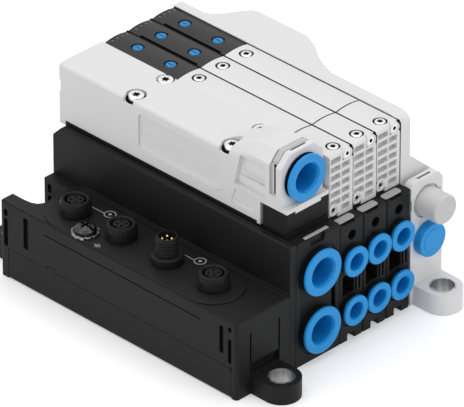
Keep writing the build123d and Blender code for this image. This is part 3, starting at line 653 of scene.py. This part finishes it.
# %% Rounding every moulding
ROUNDING = {"interface_housing": 0.25, "label_panel": 0.2, "connector_plate": 0.12, "supply_base": 0.2,
            "riser_block": 0.25, "end_plate": 0.45, "silencer": 0.3, "blanking_plug": 0.15,
            "plug_body": 0.06, "label_strips": 0.12, "end_clip": 0.1, "mounting_bushes": 0.06,
            "earth_washer": 0.06, "earth_screw": 0.1}
for n in (1, 2, 3):
    ROUNDING[f"sub_base_{n}"] = 0.2
    ROUNDING[f"valve_body_{n}"] = 0.2
    ROUNDING[f"valve_front_cap_{n}"] = 0.22
    ROUNDING[f"socket_body_{n}"] = 0.1
for node in NODES:
    if "release_ring" in node:
        ROUNDING[node] = 0.2
    if node.startswith("override"):
        ROUNDING[node] = 0.12
dressed = {node: rounded(node, edge) for node, edge in ROUNDING.items()}
for n in (1, 2, 3):
    dressed[f"pilot_unit_{n}"] = rounded(f"pilot_unit_{n}", 0.25, reshape=close_groove,
                                         carve=cut_groove if n > 1 else None)
dressed["left_end_plate"] = rounded("left_end_plate", 0.3, reshape=shorten_ledge)
dressed["supply_cap"] = rounded("supply_cap", 0.25, reshape=shape_cap, carve=cut_seats)
dressed["supply_clip"] = rounded("supply_clip", 0.2, reshape=free_clip)
print(len(dressed), "pieces rounded")

# %% [markdown]
# ## Small added pieces
# Each of these starts as a primitive at its own size and place.  It is shaped in edit mode, its place is put
# into its mesh, and only then does it ride on its body.

# %% Starting and settling a piece
def settle(piece, name, material, body="row"):
    bpy.ops.object.mode_set(mode="OBJECT")
    bpy.ops.object.transform_apply(location=True, rotation=True, scale=True)
    piece.name = name
    piece.data.name = name
    piece.data.materials.clear()
    piece.data.materials.append(material)
    bpy.ops.object.shade_smooth_by_angle(angle=radians(SMOOTH_TURN))
    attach(piece, body)


def soften(edge, segments=2):
    bpy.ops.mesh.bevel(offset=edge * MM, segments=segments, affect="EDGES")


def soft_block(name, low, high, edge, material, body="row"):
    piece = start_block(low, high)
    soften(edge)
    settle(piece, name, material, body)


# A black block that paints the shade of a narrow gap, joint or hollow.
def shade_block(name, low, high, edge):
    soft_block(name, low, high, edge, EXTRA["seal"])


print("small pieces can be settled")

# %% [markdown]
# ## Painted shade between the slices
# The narrow gap between two slices lies in shade; a thin black strip in each gap paints that shade as a fine
# dark line across the tops and down the fronts.  Its upper edge follows the sides of the covers, a little above
# or below them.

# %% Painted shade in the gaps between the slices
GAP_SHADE_FRONT, GAP_SHADE_REAR, GAP_SHADE_EDGE = 5.9, 114.6, 0.04
FRONT_GAP_SHADE = dict(front=5.34, rear=7.0, top=71.7)       # the part of a strip of painted shade that shows between the front caps
SEAMS = ((slice_left(0), 0.14, 18.5, 71.7),      # middle, half the width, front and top of each
         (slice_left(1), 0.36, GAP_SHADE_FRONT, 72.45),
         (slice_left(2), 0.36, GAP_SHADE_FRONT, 72.45),
         (slice_left(3) + 0.1, 0.36, GAP_SHADE_FRONT, 72.4))
for number, (x, half, front, top) in enumerate(SEAMS, 1):
    shade_block(f"slice_seal_{number}", (x - half, front, BOTTOM), (x + half, GAP_SHADE_REAR, top), GAP_SHADE_EDGE)
    if number > 1:
        shade_block(f"slice_seal_{number}_front", (x - half, FRONT_GAP_SHADE["front"], BOTTOM),
                   (x + half, FRONT_GAP_SHADE["rear"], FRONT_GAP_SHADE["top"]), GAP_SHADE_EDGE)
print(len(SEAMS), "strips of gap shade")

# %% [markdown]
# A thin black strip also lies in the arched joint between each front cap and its valve body, painted shade of
# the joint.  It starts as a block, is subdivided, and its upper edge is lifted column by column to the arch of
# the covers.

# %% Arched strips of painted shade at the front caps
ARCH_HALF = 5.6                                  # from the middle of an arch to where it has come down
JOINT = dict(side=72.43, rise=0.6, front=24.6, rear=25.1, clear=0.16)
COLUMNS = 8


def arch(rise, x, middle):
    """Height of a cover's arch over its sides."""
    return rise * (1 - ((x - middle) / ARCH_HALF) ** 2)


def arched_joint_shade(name, left, right):
    piece = start_block((left, JOINT["front"], BOTTOM + 1), (right, JOINT["rear"], JOINT["side"]))
    bpy.ops.mesh.subdivide(number_cuts=COLUMNS - 1)
    middle, top = (left + right) / 2, at(0, 0, JOINT["side"]).z
    for i in range(COLUMNS + 1):
        x = left + (right - left) * i / COLUMNS
        place = at(x, 0, 0).x
        choose(piece, lambda vert: abs(vert.co.x + piece.location.x - place) < CLOSE
               and abs(vert.co.z + piece.location.z - top) < CLOSE)
        bpy.ops.transform.translate(value=(0, 0, arch(JOINT["rise"], x, middle) * MM))
    settle(piece, name, EXTRA["seal"])


for n in SLICES:
    arched_joint_shade(f"front_cap_seal_{n + 1}", slice_left(n) + JOINT["clear"], slice_left(n + 1) - JOINT["clear"])
print(len(SLICES), "arched strips of joint shade")

# %% [markdown]
# ## Painted shade in gaps
# A narrow gap shows nearly black, whatever stands beside it, so black pieces paint that shade.  The clip of the
# supply cap gets a thicker black copy of itself, painted shade that shows as an outline, and the floor and the
# wall of each groove between the pilot units get a thin black lining of painted shade.

# %% Painted shade: a black copy that outlines the clip of the supply cap
CLIP_SHADE_SIZE, CLIP_SHADE_DROP = (0.99, 1.27, 1), 0.22
clip_shade_copy = copy_of(dressed["supply_clip"])
edit_all()
bpy.ops.transform.resize(value=CLIP_SHADE_SIZE, center_override=at(CLIP_X, CLIP_Y, 0))
bpy.ops.transform.translate(value=(0, 0, -CLIP_SHADE_DROP * MM))
settle(clip_shade_copy, "clip_underlay", EXTRA["seal"])
print("clip outlined")

# %% Painted shade: black lining of the grooves between the pilot units
front, rear, floor_z = GROOVE["front"] + 0.1, GROOVE["rear"] - 0.1, GROOVE["floor"]
for n in (2, 3):
    left = slice_left(n - 1) + GROOVE_LEFT
    wall = left + GROOVE["wide"]
    shade_block(f"groove_floor_{n}", (left, front, floor_z - 0.3), (wall, rear, floor_z + 0.05), 0.02)
    shade_block(f"groove_wall_{n}", (wall - 0.06, front, floor_z - 0.2), (wall + 0.2, rear, 72.4), 0.02)
print("2 grooves lined")

# %% [markdown]
# ## Painted shade in the slots of the overrides
# A deep blue bar on the floor of the slot in the top of each manual override paints the shade of that slot.  It
# rides on the override's own body, so it goes in with the button when that is pressed.

# %% Painted shade: deep blue bars in the slots of the overrides
OVERRIDE_Y, OVERRIDE_X = (87.0, 103.2), AXIS - 0.2
SLOT_HALF_X, SLOT_HALF_Y, SLOT_LOW, SLOT_HIGH = 0.27, 1.18, 72.2, 72.7
for n in SLICES:
    for number, y in enumerate(OVERRIDE_Y, 1):
        x, node = slice_left(n) + OVERRIDE_X, f"override_{n + 1}_{number}"
        soft_block(node + "_slot", (x - SLOT_HALF_X, y - SLOT_HALF_Y, SLOT_LOW),
                   (x + SLOT_HALF_X, y + SLOT_HALF_Y, SLOT_HIGH), 0.04, EXTRA["deep_blue"],
                   BODY[node])
print(len(SLICES) * len(OVERRIDE_Y), "slots")

# %% [markdown]
# ## Lamp windows
# Four small grey lenses sit in the pockets at the rear of each pilot unit.  The cover is arched, so each lens
# is set to the height of the arch at its place.

# %% Lenses
LENSES, LENS_FIRST, LENS_PITCH, LENS_HALF = 4, 3.0, 2.3, 0.5
LENS_FRONT, LENS_REAR, LENS_LOW = 112.35, 113.45, 72.1
PILOT_SIDE, PILOT_RISE, LENS_SINK = 72.2, 0.8, 0.1
for n in SLICES:
    middle = slice_left(n + 0.5)
    for i in range(LENSES):
        x = slice_left(n) + LENS_FIRST + LENS_PITCH * i
        height = PILOT_SIDE + arch(PILOT_RISE, x, middle) - LENS_SINK
        soft_block(f"lamp_lens_{n + 1}_{i + 1}", (x - LENS_HALF, LENS_FRONT, LENS_LOW),
                   (x + LENS_HALF, LENS_REAR, height), 0.08, EXTRA["lens"])
print(len(SLICES) * LENSES, "lenses")

# %% Painted shade: black band in the clip groove of the supply cap
GROOVE_SHADE = dict(wide=0.2, front=10.45, rear=12.5, low=64.0, high=75.5)
for name, x in (("left", 1.95), ("right", 19.15)):
    shade_block(f"clip_groove_band_{name}", (x, GROOVE_SHADE["front"], GROOVE_SHADE["low"]),
               (x + GROOVE_SHADE["wide"], GROOVE_SHADE["rear"], GROOVE_SHADE["high"]), 0.05)
print("clip groove darkened")

# %% [markdown]
# ## Cover screws
# The covers are held by plated screws with a six-pointed recess.  One head is modelled: a cylinder with its
# rim rounded, a shank drawn out of its underside, and the recess cut by a star that is kept as a black lining
# of its floor, painted shade of the recess.

# %% One screw
STAR_POINTS, STAR_WAIST, STAR_DEPTH = 6, 0.62, 1.0
STAR_RISE, STAR_SINK = 0.2, 0.6                  # over the head when it cuts, and down again as a black lining of painted shade


def turned_angle(point):
    return Vector((point.x, point.y)).angle_signed(Vector((1, 0)), 0.0) % (2 * pi)


def pressed_star(name, x, y, top, radius):
    """A six-pointed prism whose top is at that height; every second corner is drawn in."""
    star = start_cylinder(x, y, top - STAR_DEPTH / 2, radius, STAR_DEPTH, vertices=2 * STAR_POINTS)
    bpy.ops.object.mode_set(mode="EDIT")
    choose(star, lambda vert: round(turned_angle(vert.co) * STAR_POINTS / pi) % 2)
    bpy.ops.transform.resize(value=(STAR_WAIST, STAR_WAIST, 1), center_override=at(x, y, top))
    bpy.ops.object.mode_set(mode="OBJECT")
    star.name = name
    return star


def cover_screw(name, x, y, top, head, shank, length, tall):
    screw = start_cylinder(x, y, top - tall / 2, head, tall, vertices=40)
    bpy.ops.object.mode_set(mode="EDIT")
    choose(screw, lambda face: face.normal.z < -0.9, "faces")
    bpy.ops.mesh.inset(thickness=(head - shank) * MM)
    bpy.ops.mesh.extrude_region_move(TRANSFORM_OT_translate={"value": (0, 0, -(length - tall) * MM)})
    choose(screw, lambda face: face.normal.z > 0.9, "faces")
    soften(0.35, segments=3)
    bpy.ops.object.mode_set(mode="OBJECT")
    star = pressed_star(name + "_star", x, y, top + STAR_RISE, 0.45 * head + 0.4)
    subtract(screw, star)
    settle(screw, name, FINISH["steel"])
    pick(star)
    edit_all()
    bpy.ops.transform.translate(value=(0, 0, -STAR_SINK * MM))
    bpy.ops.transform.resize(value=(0.98, 0.98, 1), center_override=at(x, y, top))
    settle(star, name + "_recess", EXTRA["recess"])


def counterbore_shade_ring(name, x, y, low, radius, thick):
    """A black ring that fills the counterbore around a head, painted shade of the counterbore."""
    ring = start_cylinder(x, y, low + thick / 2, radius, thick, vertices=40)
    edit_all()
    soften(0.04, segments=1)
    settle(ring, name, EXTRA["seal"])


print("cover screws can be made")

# %% All the cover screws
CAP_SCREW = dict(top=72.8, head=2.8, shank=1.25, length=21, tall=2.2)
VALVE_SCREW = dict(top=72.95, head=2.0, shank=1.0, length=24, tall=1.3)
VALVE_SCREW_X, VALVE_SCREW_Y = AXIS + 0.2, (9.6, 73.6)
for number, ((x, y), seat) in enumerate(zip(CAP_SCREW_PLACES, CAP_SEATS), 1):
    cover_screw(f"cap_screw_{number}", x, y, **CAP_SCREW)
    counterbore_shade_ring(f"cap_screw_seat_{number}", x, y, CAP_SEAT_Z, seat - 0.05, thick=0.5)
for n in SLICES:
    for number, y in enumerate(VALVE_SCREW_Y, 1):
        x = slice_left(n) + VALVE_SCREW_X
        cover_screw(f"valve_screw_{n + 1}_{number}", x, y, **VALVE_SCREW)
        counterbore_shade_ring(f"valve_screw_seat_{n + 1}_{number}", x, y, 71.2, 2.62, thick=1.45)
print(len(CAP_SCREW_PLACES) + len(SLICES) * len(VALVE_SCREW_Y), "cover screws")

# %% [markdown]
# ## Painted shade in small hollows
# The sockets of the two small screws on each front cap lie in shade, and so does the slot above the port,
# beside the clip; black pieces paint that shade.

# %% Painted shade: black discs in the sockets of the small screws on the front caps
SOCKET_RADIUS, SOCKET_DEPTH, SOCKET_Y = 0.8, 0.9, 5.95
SOCKETS = (("upper", 3.06, 70.6), ("lower", -3.6, 50.9))        # beside the valve's axis, and height
for n in SLICES:
    for name, side, z in SOCKETS:
        plug = start_cylinder(slice_left(n) + AXIS + side, SOCKET_Y, z, SOCKET_RADIUS, SOCKET_DEPTH,
                              vertices=24, rotation=(pi / 2, 0, 0))
        edit_all()
        soften(0.05, segments=1)
        settle(plug, f"front_cap_socket_{n + 1}_{name}", EXTRA["recess"])
print(len(SLICES) * len(SOCKETS), "sockets")

# %% Painted shade: black lining of the lever slot beside the clip
shade_block("lever_slot_lining", (7.05, 9.52, 78.61), (14.25, 10.18, 79.78), 0.05)
print("lever slot lined")

# %% [markdown]
# ## Marks printed on the connector plate
# A thin line leads from two connectors to a ring with a dot, which stands for the lamp of that connector, and
# the earth screw has the usual symbol of three shortening bars under a stem.  They are thin raised ink.
# Words and numbers are left off.

# %% Printed marks
INK = 0.03                                       # thickness of the ink
LAMPS = ((-9.6, 80.1, 88.2), (-9.1, 36.8, 43.1))        # middle of the ring, and where its line ends
LAMP_RING, LAMP_LINE, LAMP_DOT = 2.2, 0.32, 0.6  # radius, width of its line, radius of the dot
EARTH_X, EARTH_BARS, EARTH_HALF = -26.8, ((1.3, 69.0), (0.85, 68.3), (0.4, 67.6)), 0.13


def ink_bar(name, x0, x1, y0, y1):
    soft_block(name, (x0, y0, PLATE), (x1, y1, PLATE + INK), 0.008, EXTRA["ink"])


def ink_ring(name, x, y, radius, width):
    """An open ring: a circle is filled, its inside is cut away by an inset, and the rest is drawn up."""
    pick_nothing()
    bpy.ops.mesh.primitive_circle_add(vertices=40, radius=radius * MM, fill_type="NGON",
                                      location=at(x, y, PLATE))
    ring = bpy.context.object
    edit_all()
    if width < radius:
        bpy.ops.mesh.inset(thickness=width * MM)
        bpy.ops.mesh.delete(type="FACE")
    bpy.ops.mesh.select_all(action="SELECT")
    bpy.ops.mesh.extrude_region_move(TRANSFORM_OT_translate={"value": (0, 0, INK * MM)})
    bpy.ops.mesh.select_all(action="SELECT")
    bpy.ops.mesh.normals_make_consistent(inside=False)
    settle(ring, name, EXTRA["ink"])


for number, (x, y, end) in enumerate(LAMPS, 1):
    ink_bar(f"lamp_leader_{number}", x - 1.1, x - 0.8, y + 2.0, end)
    ink_ring(f"lamp_ring_{number}", x, y, LAMP_RING, LAMP_LINE)
    ink_ring(f"lamp_dot_{number}", x, y, LAMP_DOT, LAMP_DOT)
for number, (half, y) in enumerate(EARTH_BARS, 1):
    ink_bar(f"earth_bar_{number}", EARTH_X - half, EARTH_X + half, y - EARTH_HALF, y + EARTH_HALF)
ink_bar("earth_stem", EARTH_X - EARTH_HALF, EARTH_X + EARTH_HALF, 69.13, 70.4)
print("marks of", len(LAMPS), "lamps and of the earth screw")

# %% [markdown]
# ## The end
# Nothing is left selected.

# %% Leaving nothing selected
pick_nothing()
